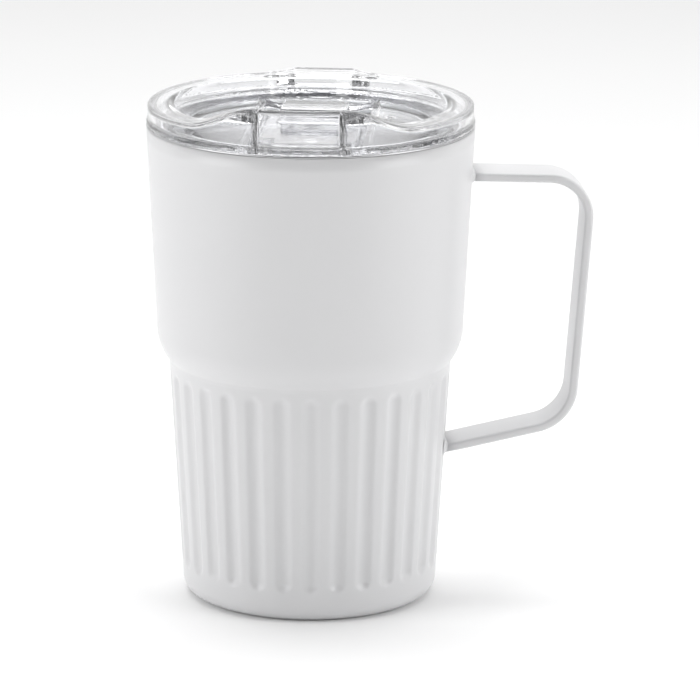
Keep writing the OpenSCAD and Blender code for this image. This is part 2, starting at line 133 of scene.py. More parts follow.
class LidSizes(bpy.types.PropertyGroup):
    """Sizes of the clear lid, measured up from the cup's rim."""

    wall: length("Wall", "Thickness of the lid's walls", 2 * MM)
    top: length("Top", "Thickness of the ring's and spout's top", 1.3 * MM)
    ring_height: length("Ring height", "Height of the ring above the rim", 5.6 * MM)
    ring_width: length("Ring width", "Width of the ring's flat top", 6.8 * MM)
    spout_height: length("Spout height", "Height of the spout above the rim", 11.8 * MM)
    spout_flat: length("Spout half width", "Half width of the spout's level top", 11 * MM)
    spout_ramp: length("Spout ramp", "Length of the ramp beside the spout", 20 * MM)
    flange: length("Flange", "Thickness of the flange on the rim", 1.2 * MM)
    flange_step: length("Flange step", "Step from the flange in to the ring", 0.3 * MM)
    recess_depth: length("Recess depth", "Depth of the recess floor below the rim", 0.7 * MM)
    recess_radius: length("Recess radius", "Radius of the recess floor", 31.8 * MM)
    skirt_length: length("Skirt", "Length of the skirt inside the mouth", 10 * MM)
    skirt_wall: length("Skirt wall", "Thickness of the skirt", 2.4 * MM)
    skirt_gap: length("Skirt gap", "Clearance from the skirt to the liner", 1.3 * MM)
    tab_half: length("Tab half width", "Half width of the lift tab's edge", 8.3 * MM)
    tab_out: length("Tab reach", "How far the lift tab stands out", 5 * MM)
    tab_thickness: length("Tab thickness", "Thickness of the lift tab", 4.6 * MM)
    channel_width: length("Channel width", "Width of the slider's channel", 29.4 * MM)
    channel_depth: length("Channel depth", "Depth of the channel", 2.75 * MM)
    channel_back: length("Channel back", "Distance from the axis to the channel's end", 29 * MM)
    channel_mid: length("Channel shoulders", "Distance from the axis forward to its shoulders", 29 * MM)
    channel_front: length("Channel front", "Distance from the axis to its front", 36.2 * MM)
    nose_width: length("Channel nose", "Width of the channel ahead of its shoulders", 21.4 * MM)
    pour_wall: length("Spout wall", "Thickness of the wall in front of the pouring pocket", 2.5 * MM)
    pour_side: length("Pocket side", "Thickness of the pouring pocket's side walls", 1 * MM)
    drink_width: length("Drink width", "Width of the drink opening", 14 * MM)
    drink_length: length("Drink length", "Length of the drink opening", 9.5 * MM)
    drink_edge: length("Drink edge", "Distance from the channel's front to the opening", 2.6 * MM)
    drink_corner: length("Drink corner", "Radius of the opening's corners", 2.5 * MM)
    air_radius: length("Air hole", "Radius of the air hole", 1 * MM)
    groove_depth: length("Groove depth", "Depth of the seal's groove", 1.1 * MM)
    groove_height: length("Groove height", "Height of the seal's groove", 3.4 * MM)
    groove_drop: length("Groove drop", "Distance from the rim to the groove", 3.2 * MM)
    fillet: length("Fillet", "Rounding of the lid's moulded edges", 0.5 * MM)
    pitch: length("Mesh pitch", "Size of the cells that the clear parts are meshed on", 0.5 * MM)


class SliderSizes(bpy.types.PropertyGroup):
    """Sizes of the slider and its clip, in the lid's frame."""

    side_gap: length("Side gap", "Clearance to the channel on each side", 1.7 * MM)
    floor_gap: length("Floor gap", "Clearance to the channel's floor", 0.15 * MM)
    thickness: length("Thickness", "Thickness of the slider's plate", 1.7 * MM)
    travel: length("Travel", "Travel from open to closed", 15 * MM)
    lap: length("Lap", "How far the plate reaches past the drink opening", 1.6 * MM)
    front_gap: length("Front gap", "Clearance of the closed slider's rounded front", 0.5 * MM)
    ridge_back: length("Ridge back", "Distance from the axis back to the ridge's end", 20 * MM)
    tail: length("Tail", "How far the plate reaches back past the ridge", 0.8 * MM)
    ridge_width: length("Ridge width", "Width of the thumb ridge", 18.2 * MM)
    ridge_length: length("Ridge length", "Length of the thumb ridge", 12 * MM)
    ridge_height: length("Ridge height", "Height of the ridge above the rim", 2.1 * MM)
    stem: length("Stem", "Width and length of the stem", 6 * MM)
    stem_back: length("Stem back", "Distance from the axis back to the stem's end", 7 * MM)
    stem_gap: length("Stem gap", "Clearance of the stem in its slot", 0.4 * MM)
    clip: length("Clip thickness", "Thickness of the clip under the channel", 1.6 * MM)
    clip_lap: length("Clip lap", "How far the clip reaches past the slot", 3 * MM)


class Colours(bpy.types.PropertyGroup):
    """Colours of the finishes."""

    coat: colour("Coat", "White powder coat", (0.65, 0.65, 0.658))
    steel: colour("Steel", "Brushed stainless steel", (0.48, 0.48, 0.49))
    plastic: colour("Clear plastic", "Clear moulded plastic", (0.974, 0.976, 0.985))
    silicone: colour("Silicone", "Translucent silicone seal", (0.72, 0.73, 0.74))
    bead: colour("Sealing bead", "Dark glassy bead", (0.05, 0.05, 0.055))
    getter: colour("Getter", "Pressed grey metal powder", (0.16, 0.16, 0.17))
    floor: colour("Floor", "Pale studio floor", (0.96, 0.96, 0.96))


# ---------------------------------------------------------------- materials


def new_material(name):
    """A material with an empty node tree and its output node."""
    material = bpy.data.materials.new(name)
    material.use_nodes = True
    nodes = material.node_tree.nodes
    nodes.clear()
    return material, nodes, material.node_tree.links, nodes.new("ShaderNodeOutputMaterial")


def noise(nodes, links, vector, scale, detail=3.0):
    """A noise texture on a vector socket."""
    texture = nodes.new("ShaderNodeTexNoise")
    texture.inputs["Scale"].default_value = scale
    texture.inputs["Detail"].default_value = detail
    links.new(vector, texture.inputs["Vector"])
    return texture.outputs["Fac"]


def spread(nodes, links, source, low, high):
    """Maps a 0 to 1 socket to a range."""
    ramp = nodes.new("ShaderNodeMapRange")
    ramp.inputs["From Min"].default_value = 0.25
    ramp.inputs["From Max"].default_value = 0.75
    ramp.inputs["To Min"].default_value = low
    ramp.inputs["To Max"].default_value = high
    links.new(source, ramp.inputs["Value"])
    return ramp.outputs["Result"]


def bump(nodes, links, height, depth, strength):
    """A bump node that reads a height socket."""
    node = nodes.new("ShaderNodeBump")
    node.inputs["Strength"].default_value = strength
    node.inputs["Distance"].default_value = depth
    links.new(height, node.inputs["Height"])
    return node.outputs["Normal"]


def tinted(nodes, links, source, tone, share):
    """A colour that varies a little in brightness with a 0 to 1 socket."""
    mix = nodes.new("ShaderNodeMix")
    mix.data_type = "RGBA"
    mix.inputs["A"].default_value = (*[c * (1 - share) for c in tone], 1)
    mix.inputs["B"].default_value = (*[min(1, c * (1 + share)) for c in tone], 1)
    links.new(spread(nodes, links, source, 0, 1), mix.inputs["Factor"])
    return mix.outputs["Result"]


def principled(nodes, links, output, **values):
    """A Principled shader on the output, with constant values by socket name."""
    shader = nodes.new("ShaderNodeBsdfPrincipled")
    for socket, value in values.items():
        shader.inputs[socket.replace("_", " ")].default_value = value
    if output:
        links.new(shader.outputs["BSDF"], output.inputs["Surface"])
    return shader


def coat_material(name, tone):
    """Satin powder coat: fine orange-peel texture, faint mottling and an uneven sheen."""
    material, nodes, links, output = new_material(name)
    place = nodes.new("ShaderNodeTexCoord").outputs["Object"]
    shader = principled(nodes, links, output, Specular_IOR_Level=0.8)
    peel = noise(nodes, links, place, 2600, 2)
    cloud = noise(nodes, links, place, 45, 4)
    links.new(tinted(nodes, links, cloud, tone, 0.006), shader.inputs["Base Color"])
    links.new(spread(nodes, links, peel, 0.30, 0.38), shader.inputs["Roughness"])
    links.new(bump(nodes, links, peel, 0.02 * MM, 0.35), shader.inputs["Normal"])
    return material


def brushed_material(name, tone, roughness, lines=9000):
    """Spun steel: fine lines that run round the axis, with slow changes of tone along them."""
    material, nodes, links, output = new_material(name)
    place = nodes.new("ShaderNodeTexCoord").outputs["Object"]
    parts = nodes.new("ShaderNodeSeparateXYZ")
    links.new(place, parts.inputs[0])
    radius = nodes.new("ShaderNodeVectorMath")
    radius.operation = "LENGTH"
    flat = nodes.new("ShaderNodeCombineXYZ")
    links.new(parts.outputs["X"], flat.inputs["X"])
    links.new(parts.outputs["Y"], flat.inputs["Y"])
    links.new(flat.outputs[0], radius.inputs[0])
    angle = nodes.new("ShaderNodeMath")
    angle.operation = "ARCTAN2"
    links.new(parts.outputs["Y"], angle.inputs[0])
    links.new(parts.outputs["X"], angle.inputs[1])
    slow = nodes.new("ShaderNodeMath")
    slow.operation = "MULTIPLY"
    slow.inputs[1].default_value = 0.0006
    links.new(angle.outputs[0], slow.inputs[0])
    along = nodes.new("ShaderNodeCombineXYZ")
    links.new(slow.outputs[0], along.inputs["X"])
    links.new(radius.outputs["Value"], along.inputs["Y"])
    links.new(parts.outputs["Z"], along.inputs["Z"])
    hair = noise(nodes, links, along.outputs[0], lines, 4)
    shader = principled(nodes, links, output, Metallic=1.0, Anisotropic=0.5)
    links.new(tinted(nodes, links, hair, tone, 0.06), shader.inputs["Base Color"])
    links.new(spread(nodes, links, hair, roughness - 0.06, roughness + 0.08), shader.inputs["Roughness"])
    links.new(bump(nodes, links, hair, 0.01 * MM, 0.25), shader.inputs["Normal"])
    return material


def plastic_material(name, tone, clearness):
    """Clear polished plastic: a slight ripple from the mould and a trace of haze; lamps reach through it."""
    material, nodes, links, output = new_material(name)
    place = nodes.new("ShaderNodeTexCoord").outputs["Object"]
    shader = principled(nodes, links, None, Transmission_Weight=1.0, IOR=1.5, Base_Color=(*tone, 1))
    ripple = noise(nodes, links, place, 70, 2)
    haze = noise(nodes, links, place, 500, 3)
    links.new(spread(nodes, links, haze, 0.01, 0.03), shader.inputs["Roughness"])
    links.new(bump(nodes, links, ripple, 0.02 * MM, 0.3), shader.inputs["Normal"])
    through = nodes.new("ShaderNodeBsdfTransparent")
    through.inputs["Color"].default_value = (clearness, clearness, clearness, 1)
    path = nodes.new("ShaderNodeLightPath")
    mix = nodes.new("ShaderNodeMixShader")
    links.new(path.outputs["Is Shadow Ray"], mix.inputs["Fac"])
    links.new(shader.outputs["BSDF"], mix.inputs[1])
    links.new(through.outputs["BSDF"], mix.inputs[2])
    links.new(mix.outputs["Shader"], output.inputs["Surface"])
    return material


def silicone_material(name, tone):
    """Translucent rubber with a fine matt skin."""
    material, nodes, links, output = new_material(name)
    place = nodes.new("ShaderNodeTexCoord").outputs["Object"]
    shader = principled(nodes, links, output, Subsurface_Weight=0.4, Subsurface_Scale=1.5 * MM)
    shader.inputs["Subsurface Radius"].default_value = (1, 1, 1)
    skin = noise(nodes, links, place, 1800, 3)
    links.new(tinted(nodes, links, skin, tone, 0.03), shader.inputs["Base Color"])
    links.new(spread(nodes, links, skin, 0.42, 0.58), shader.inputs["Roughness"])
    links.new(bump(nodes, links, skin, 0.02 * MM, 0.3), shader.inputs["Normal"])
    return material


def grained_material(name, tone, grain, roughness, metallic):
    """Pressed or cast surface with a coarse grain."""
    material, nodes, links, output = new_material(name)
    place = nodes.new("ShaderNodeTexCoord").outputs["Object"]
    shader = principled(nodes, links, output, Metallic=metallic)
    specks = noise(nodes, links, place, grain, 5)
    links.new(tinted(nodes, links, specks, tone, 0.25), shader.inputs["Base Color"])
    links.new(spread(nodes, links, specks, roughness, roughness + 0.15), shader.inputs["Roughness"])
    links.new(bump(nodes, links, specks, 0.05 * MM, 0.5), shader.inputs["Normal"])
    return material


# ---------------------------------------------------------------- meshes


def to_object(name, points, faces, material, normals=None):
    """A smooth-shaded mesh object from points and faces."""
    mesh = bpy.data.meshes.new(name)
    mesh.from_pydata(points, [], faces)
    mesh.materials.append(material)
    mesh.validate()
    mesh.shade_smooth()
    if normals is not None:
        mesh.normals_split_custom_set_from_vertices(normals)
    thing = bpy.data.objects.new(name, mesh)
    bpy.context.scene.collection.objects.link(thing)
    return thing


def grid_faces(rows, columns, wrap_rows, wrap_columns):
    """Quads of a grid of points, closed round on itself where it wraps."""
    quads = []
    for i in range(rows if wrap_rows else rows - 1):
        for j in range(columns if wrap_columns else columns - 1):
            k, m = (i + 1) % rows, (j + 1) % columns
            quads.append((i * columns + j, i * columns + m, k * columns + m, k * columns + j))
    return quads


def arc(centre, radius, start, end, steps):
    """Points of an arc in a half section, from one angle to another in degrees."""
    angles = np.radians(np.linspace(start, end, steps + 1))
    return [(centre[0] + radius * math.cos(a), centre[1] + radius * math.sin(a)) for a in angles]


def subdivided(start, end, steps):
    """Points along a straight line, without its last one."""
    return [tuple(np.array(start) + (np.array(end) - np.array(start)) * i / steps) for i in range(steps)]


def lathe(name, outline, steps, material):
    """A closed ring: a closed outline of (radius, height) points, anticlockwise, turned round the axis."""
    angles = np.linspace(0, math.tau, steps, endpoint=False)
    section = np.array(outline)
    radius, height = section[:, 0:1], section[:, 1:2]
    x, y = radius * np.cos(angles), radius * np.sin(angles)
    z = np.broadcast_to(height, x.shape)
    points = np.stack([x, y, z], -1).reshape(-1, 3)
    faces = [tuple(reversed(f)) for f in grid_faces(len(outline), steps, True, True)]
    return to_object(name, points.tolist(), faces, material)


def smooth_max(a, b, reach):
    """The larger of two fields, with a fillet of about the given reach where they cross."""
    blend = np.maximum(reach - np.abs(a - b), 0) / reach
    return np.maximum(a, b) + blend * blend * reach / 4


def smooth_min(a, b, reach):
    """The smaller of two fields, with a fillet where they cross."""
    return -smooth_max(-a, -b, reach)


def all_of(reach, *fields):
    """Inside every one of the fields, with rounded edges."""
    shape = fields[0]
    for field in fields[1:]:
        shape = smooth_max(shape, field, reach)
    return shape


def round_box(x, y, half_x, centre_y, half_y, corner):
    """Distance to an upright rounded rectangle, negative inside."""
    u = np.abs(x) - half_x + corner
    v = np.abs(y - centre_y) - half_y + corner
    return np.hypot(np.maximum(u, 0), np.maximum(v, 0)) + np.minimum(np.maximum(u, v), 0) - corner


def slab(z, low, high):
    """Distance to the space between two heights, negative inside."""
    return np.maximum(low - z, z - high)


def slope_of(field, points, step):
    """Gradient of a field at points."""
    columns = []
    for axis in range(3):
        shift = np.zeros(3)
        shift[axis] = step
        columns.append((field(*(points + shift).T) - field(*(points - shift).T)) / (2 * step))
    return np.stack(columns, -1)


def mesh_field(field, low, high, pitch):
    """Points, outward quads and normals of the surface where a field is zero.

    Each cell that the surface crosses gets one point, which then slides onto the surface.
    """
    low = np.array(low)
    counts = np.ceil((np.array(high) - low) / pitch).astype(int) + 1
    axes = [low[i] + pitch * np.arange(counts[i]) for i in range(3)]
    values = field(*np.meshgrid(*axes, indexing="ij"))
    inside = values < 0
    strides = np.array([counts[1] * counts[2], counts[2], 1])
    cells, places, quads = [], [], []
    for axis in range(3):
        near = tuple(slice(0, -1) if i == axis else slice(None) for i in range(3))
        far = tuple(slice(1, None) if i == axis else slice(None) for i in range(3))
        corner = np.argwhere(inside[near] != inside[far])
        at = tuple(corner.T)
        first, second = values[near][at], values[far][at]
        crossing = corner.astype(float)
        crossing[:, axis] += first / (first - second)
        home = corner @ strides
        b, c = strides[(axis + 1) % 3], strides[(axis + 2) % 3]
        ring = np.stack([home - b - c, home - c, home, home - b], -1)
        quads.append(np.where(inside[near][at][:, None], ring, ring[:, ::-1]))
        cells.append(ring.reshape(-1))
        places.append(np.repeat(crossing, 4, axis=0))
    used, index = np.unique(np.concatenate(cells), return_inverse=True)
    places = np.concatenate(places)
    share = np.bincount(index)
    points = np.stack([np.bincount(index, places[:, i]) / share for i in range(3)], -1) * pitch + low
    for _ in range(5):
        slope = slope_of(field, points, pitch * 0.02)
        step = field(*points.T)[:, None] * slope / np.maximum((slope**2).sum(1, keepdims=True), 0.2)
        points -= np.clip(step, -pitch / 2, pitch / 2)
    slope = slope_of(field, points, pitch * 0.02)
    normals = slope / np.maximum(np.linalg.norm(slope, axis=1, keepdims=True), 1e-9)
    faces = np.searchsorted(used, np.concatenate(quads))
    return points, faces, normals


def moulded(name, field, low, high, pitch, material):
    """A clear moulded piece from a field in the lid's frame, set on the cup's rim."""
    points, faces, normals = mesh_field(field, low, high, pitch)
    c, s = math.cos(LID_TURN), math.sin(LID_TURN)
    turn = np.array([[c, -s, 0], [s, c, 0], [0, 0, 1]])
    points = points @ turn.T + np.array([0, 0, lid_base()])
    normals = normals @ turn.T
    return to_object(name, points.tolist(), faces.tolist(), material, normals.tolist())


def lid_base():
    """Height of the lid's underside on the rim."""
    return LID_TOP - bpy.context.scene.mug_lid.spout_height


# ---------------------------------------------------------------- cup


def cup_angles(cup):
    """Leans of the lower and upper walls from upright, and the height of the shoulder's centre."""
    step = RIM_R - cup.upper_taper - cup.waist_radius
    drop = math.sqrt(cup.shoulder_round**2 - (cup.shoulder_round - step) ** 2)
    lower = math.atan(cup.lower_taper / (cup.crease_height - cup.base_round))
    upper = math.atan(cup.upper_taper / (RIM_Z - cup.crease_height - drop))
    return lower, upper, cup.crease_height + drop


def wall_radius(cup, height):
    """Outer radius of the cup at a height, without its rounded edges."""
    lower, upper, shoulder = cup_angles(cup)
    if height < cup.crease_height:
        return cup.waist_radius - cup.lower_taper + (height - cup.base_round) * math.tan(lower)
    return RIM_R - cup.upper_taper + max(0, height - shoulder) * math.tan(upper)


def cup_outline(cup, inset, top):
    """Outside of the cup from its top edge down to its foot, drawn inward by an inset."""
    lower, upper, shoulder = cup_angles(cup)
    centre = (RIM_R - cup.upper_taper - cup.shoulder_round * math.cos(upper), shoulder)
    reach = cup.shoulder_round - inset
    crease = (cup.waist_radius - inset, cup.crease_height)
    soft = cup.crease_round + inset
    lean = math.acos((crease[0] + soft - centre[0]) / (reach + soft))
    fillet = (crease[0] + soft, shoulder - (reach + soft) * math.sin(lean))
    points = subdivided((RIM_R - inset, top), (centre[0] + reach, shoulder), 14)
    points += arc(centre, reach, -math.degrees(upper), -math.degrees(lean), 18)
    points += arc(fillet, soft, 180 - math.degrees(lean), 180, 8)[1:]
    foot = (cup.waist_radius - cup.lower_taper - cup.base_round * math.cos(lower), cup.base_round)
    round_r = cup.base_round - inset
    low_end = (foot[0] + round_r * math.cos(lower), foot[1] - round_r * math.sin(lower))
    high_end = (crease[0] - 0.1 * MM, fillet[1] - 0.3 * MM)
    points += flute_rows(cup, high_end, low_end)
    points += arc(foot, round_r, -math.degrees(lower), -90, 16)
    return points


def flute_rows(cup, high, low):
    """Points down the fluted wall, close together where the flutes end."""
    heights = list(np.arange(high[1], cup.flute_high - 6 * MM, -0.45 * MM))
    heights += list(np.linspace(heights[-1], cup.flute_low + 6 * MM, 14)[1:])
    heights += list(np.arange(heights[-1] - 0.45 * MM, low[1] + 0.3 * MM, -0.45 * MM))
    lean = (high[0] - low[0]) / (high[1] - low[1])
    return [(low[0] + (h - low[1]) * lean, h) for h in heights]


def flute_dent(cup, across, height):
    """How far a flute dents the wall, from the distance across it and the height."""
    half = cup.flute_width / 2
    low, high = cup.flute_low + half, cup.flute_high - half
    past = np.maximum(np.maximum(low - height, height - high), 0)
    share = np.hypot(across, past) / half
    dip = cup.flute_depth * (1 - share**2)
    soft = 0.16 * MM
    return (dip + np.sqrt(dip**2 + soft**2)) / 2 - soft**2 / (4 * cup.flute_depth)


class MUG_OT_outer_shell(bpy.types.Operator):
    """Build the fluted outer shell."""

    bl_idname = "mug.outer_shell"
    bl_label = "Outer Shell"

    def execute(self, context):
        cup = context.scene.mug_cup
        top = RIM_Z - cup.rim_width / 3
        outside = cup_outline(cup, 0, top)
        around = cup.flute_count * 16
        angles = np.linspace(0, math.tau, around, endpoint=False)
        pitch = math.tau / cup.flute_count
        off = (angles - cup.flute_turn + pitch / 2) % pitch - pitch / 2
        rows = []
        for radius, height in outside:
            dent = flute_dent(cup, off * radius, height) if height < cup.crease_height else 0 * off
            rows.append((radius - np.maximum(dent, 0), height))
        rows.append((np.full(around, FOOT_R + 0.4 * MM), 0.0))
        rows.append((np.full(around, FOOT_R + 0.02 * MM), 0.25 * MM))
        rows.append((np.full(around, FOOT_R + 0.02 * MM), cup.sheet))
        inner = [p for p in cup_outline(cup, cup.sheet, top)[::-1] if p[1] > cup.sheet][::3]
        for radius, height in inner:
            dent = flute_dent(cup, off * radius, height) if height < cup.crease_height else 0 * off
            rows.append((radius - np.maximum(dent, 0), height))
        rows.append((np.full(around, inner[-1][0]), top))
        points = []
        for radius, height in rows:
            points += [(r * math.cos(a), r * math.sin(a), height) for r, a in zip(radius, angles)]
        faces = [tuple(reversed(f)) for f in grid_faces(len(rows), around, True, True)]
        coat = coat_material("white_coat", context.scene.mug_colours.coat)
        shell = to_object("outer_shell_skin", points, faces, coat)
        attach(shell, "cup")
        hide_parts("outer_shell")
        return {"FINISHED"}


def turn_corner(before, corner, after, bend, steps):
    """Points of a bend of a given radius at a corner between two straight runs."""
    u = (before - corner).normalized()
    v = (after - corner).normalized()
    half = u.angle(v) / 2
    centre = corner + (u + v).normalized() * bend / math.sin(half)
    start = corner + u * bend / math.tan(half) - centre
    end = corner + v * bend / math.tan(half) - centre
    sweep = start.angle(end)
    side = (end - start * math.cos(sweep)) / math.sin(sweep)
    turns = [sweep * i / steps for i in range(steps + 1)]
    return [centre + start * math.cos(t) + side * math.sin(t) for t in turns]


def strap_route(strap, cup):
    """Middle of the strap from its upper end to its lower end, in the plane of the handle."""
    top = Vector((wall_radius(cup, strap.top_height) - 0.1 * MM, 0, strap.top_height))
    low = Vector((wall_radius(cup, strap.low_height) - 0.1 * MM, 0, strap.low_height))
    corner_top = Vector((strap.top_reach, 0, strap.top_height - strap.top_fall))
    corner_low = Vector((strap.low_reach, 0, strap.low_height + strap.low_rise))
    first = turn_corner(top, corner_top, corner_low, strap.top_bend, 20)
    second = turn_corner(corner_top, corner_low, low, strap.low_bend, 20)
    return [top, top.lerp(first[0], 0.15), top.lerp(first[0], 0.5), *first, first[-1].lerp(second[0], 0.33),
            first[-1].lerp(second[0], 0.66), *second, second[-1].lerp(low, 0.5),
            second[-1].lerp(low, 0.85), low]


def strap_section(width, thickness, edge):
    """Rounded rectangle of the strap: offsets across its thickness and along its width."""
    points = []
    for su, sv, start in ((1, 1, 0), (-1, 1, 90), (-1, -1, 180), (1, -1, 270)):
        centre = (su * (thickness / 2 - edge), sv * (width / 2 - edge))
        points += arc(centre, edge, start, start + 90, 5)
    return points


class MUG_OT_handle(bpy.types.Operator):
    """Build the strap handle and the welds at its ends."""

    bl_idname = "mug.handle"
    bl_label = "Handle"

    def execute(self, context):
        strap, cup = context.scene.mug_handle, context.scene.mug_cup
        width = HANDLE_HIGH.y - HANDLE_LOW.y
        route = strap_route(strap, cup)
        section = strap_section(width, strap.thickness, strap.edge)
        points = []
        for i, place in enumerate(route):
            ahead = (route[min(i + 1, len(route) - 1)] - route[max(i - 1, 0)]).normalized()
            out = ahead.cross(Vector((0, 1, 0)))
            ring = [place + out * u + Vector((0, 1, 0)) * v for u, v in section]
            if i in (0, len(route) - 1):
                for p in ring:
                    p.x = math.sqrt(wall_radius(cup, p.z) ** 2 - p.y**2) - 0.05 * MM
            points += [tuple(p) for p in ring]
        count = len(section)
        faces = grid_faces(len(route), count, False, True)
        faces = [tuple(reversed(f)) for f in faces]
        last = (len(route) - 1) * count
        faces += [tuple(range(count)), tuple(reversed(range(last, last + count)))]
        coat = coat_material("white_coat_handle", context.scene.mug_colours.coat)
        handle = to_object("handle_strap", points, faces, coat)
        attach(handle, "cup")
        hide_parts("handle")
        for label, end, inner in (("upper", route[0], route[1]), ("lower", route[-1], route[-2])):
            weld = weld_bead(f"handle_weld_{label}", strap, cup, width, end, inner, coat)
            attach(weld, "cup")
            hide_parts("handle_welds")
        return {"FINISHED"}


def weld_bead(name, strap, cup, width, end, inner, material):
    """A hollow fillet round one end of the strap, from its surface out onto the cup's wall."""
    ahead = (inner - end).normalized()
    out = ahead.cross(Vector((0, 1, 0)))
    section = strap_section(width, strap.thickness, strap.edge)
    grown = strap_section(width + 2 * strap.weld, strap.thickness + 2 * strap.weld, strap.edge + strap.weld)
    rows = []
    steps = 6
    for i in range(steps + 1):
        angle = math.pi / 2 * i / steps
        reach, lift = 1 - math.sin(angle), 1 - math.cos(angle)
        ring = []
        for (u0, v0), (u1, v1) in zip(section, grown):
            u, v = u0 + (u1 - u0) * reach, v0 + (v1 - v0) * reach
            p = end + out * u + Vector((0, 1, 0)) * v
            p.x = math.sqrt(wall_radius(cup, p.z) ** 2 - p.y**2)
            ring.append(tuple(p + ahead * (strap.weld * lift * 0.9 - 0.03 * MM)))
        rows.append(ring)
    inside = []
    for u, v in section:
        p = end + out * u * 0.9 + Vector((0, 1, 0)) * v * 0.98
        p.x = math.sqrt(wall_radius(cup, p.z) ** 2 - p.y**2) - 0.1 * MM
        inside.append(tuple(p))
    rows.append(inside)
    points = [p for ring in rows for p in ring]
    faces = grid_faces(len(rows), len(section), True, True)
    return to_object(name, points, faces, material)


class MUG_OT_liner(bpy.types.Operator):
    """Build the brushed liner with its rolled rim and its floor."""

    bl_idname = "mug.liner"
    bl_label = "Liner"

    def execute(self, context):
        cup = context.scene.mug_cup
        mouth = RIM_R - cup.rim_width
        lean = math.atan((mouth - cup.floor_radius) / (RIM_Z - cup.floor_height))
        corner_z = cup.floor_height + cup.floor_round
        corner_x = cup.floor_radius + cup.floor_round * (math.tan(lean) - 1 / math.cos(lean))
        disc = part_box("liner_bottom")[1].x
        lip = cup.rim_width / 3
        edge = 0.35 * MM
        out = cup.floor_round + cup.sheet
        degrees = math.degrees(lean)
        outline = [(disc, cup.floor_height)]
        outline += arc((corner_x, corner_z), cup.floor_round, -90, -degrees, 12)
        wall_foot = (outline[-1][0] + 0.01 * MM, outline[-1][1] + 0.1 * MM)
        outline += subdivided(wall_foot, (mouth, RIM_Z - 1.2 * MM), 24)[1:]
        outline += arc((mouth + edge, RIM_Z - edge), edge, 180, 90, 6)
        outline += arc((RIM_R - lip / 2, RIM_Z - lip / 2), lip / 2, 90, -90, 10)
        outline += [(mouth + cup.sheet, RIM_Z - lip - 0.02 * MM)]
        outline += [(mouth + cup.sheet - 0.1 * MM, RIM_Z - 2 * MM)]
        outline += arc((corner_x, corner_z), out, -degrees, -90, 8)
        outline += [(disc, cup.floor_height - cup.sheet)]
        steel = brushed_material("liner_steel", context.scene.mug_colours.steel, 0.26)
        liner = lathe("liner_skin", outline[::-1], 256, steel)
        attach(liner, "cup")
        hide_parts("liner_wall")
        frame["nodes"]["liner_bottom"].data.materials[0] = steel
        return {"FINISHED"}


class MUG_OT_base(bpy.types.Operator):
    """Build the coated base cover and finish the parts inside the walls."""

    bl_idname = "mug.base"
    bl_label = "Base and Vacuum Parts"

    def execute(self, context):
        colours = context.scene.mug_colours
        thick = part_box("base_cover")[1].z
        edge = 0.25 * MM
        dish = 0.3 * MM
        outline = [(0.2 * MM, dish), (FOOT_R - 4.5 * MM, dish), (FOOT_R - 3.6 * MM, 0.0)]
        outline += arc((FOOT_R - edge, edge), edge, -90, 0, 5)
        outline += arc((FOOT_R - edge, thick - edge), edge, 0, 90, 5)
        outline += [(0.2 * MM, thick)]
        cover = lathe("base_cover_skin", outline, 128, coat_material("white_coat_base", colours.coat))
        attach(cover, "cup")
        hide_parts("base_cover")
        sheet = brushed_material("inner_steel", colours.steel, 0.34, 4000)
        finishes = {
            "shell_bottom": sheet,
            "getter_clip": sheet,
            "vacuum_seal": grained_material("seal_bead", colours.bead, 1500, 0.2, 0.0),
            "getter": grained_material("getter_powder", colours.getter, 3500, 0.7, 0.6),
        }
        for node, material in finishes.items():
            frame["nodes"][node].data.materials[0] = material
        return {"FINISHED"}


# ---------------------------------------------------------------- lid


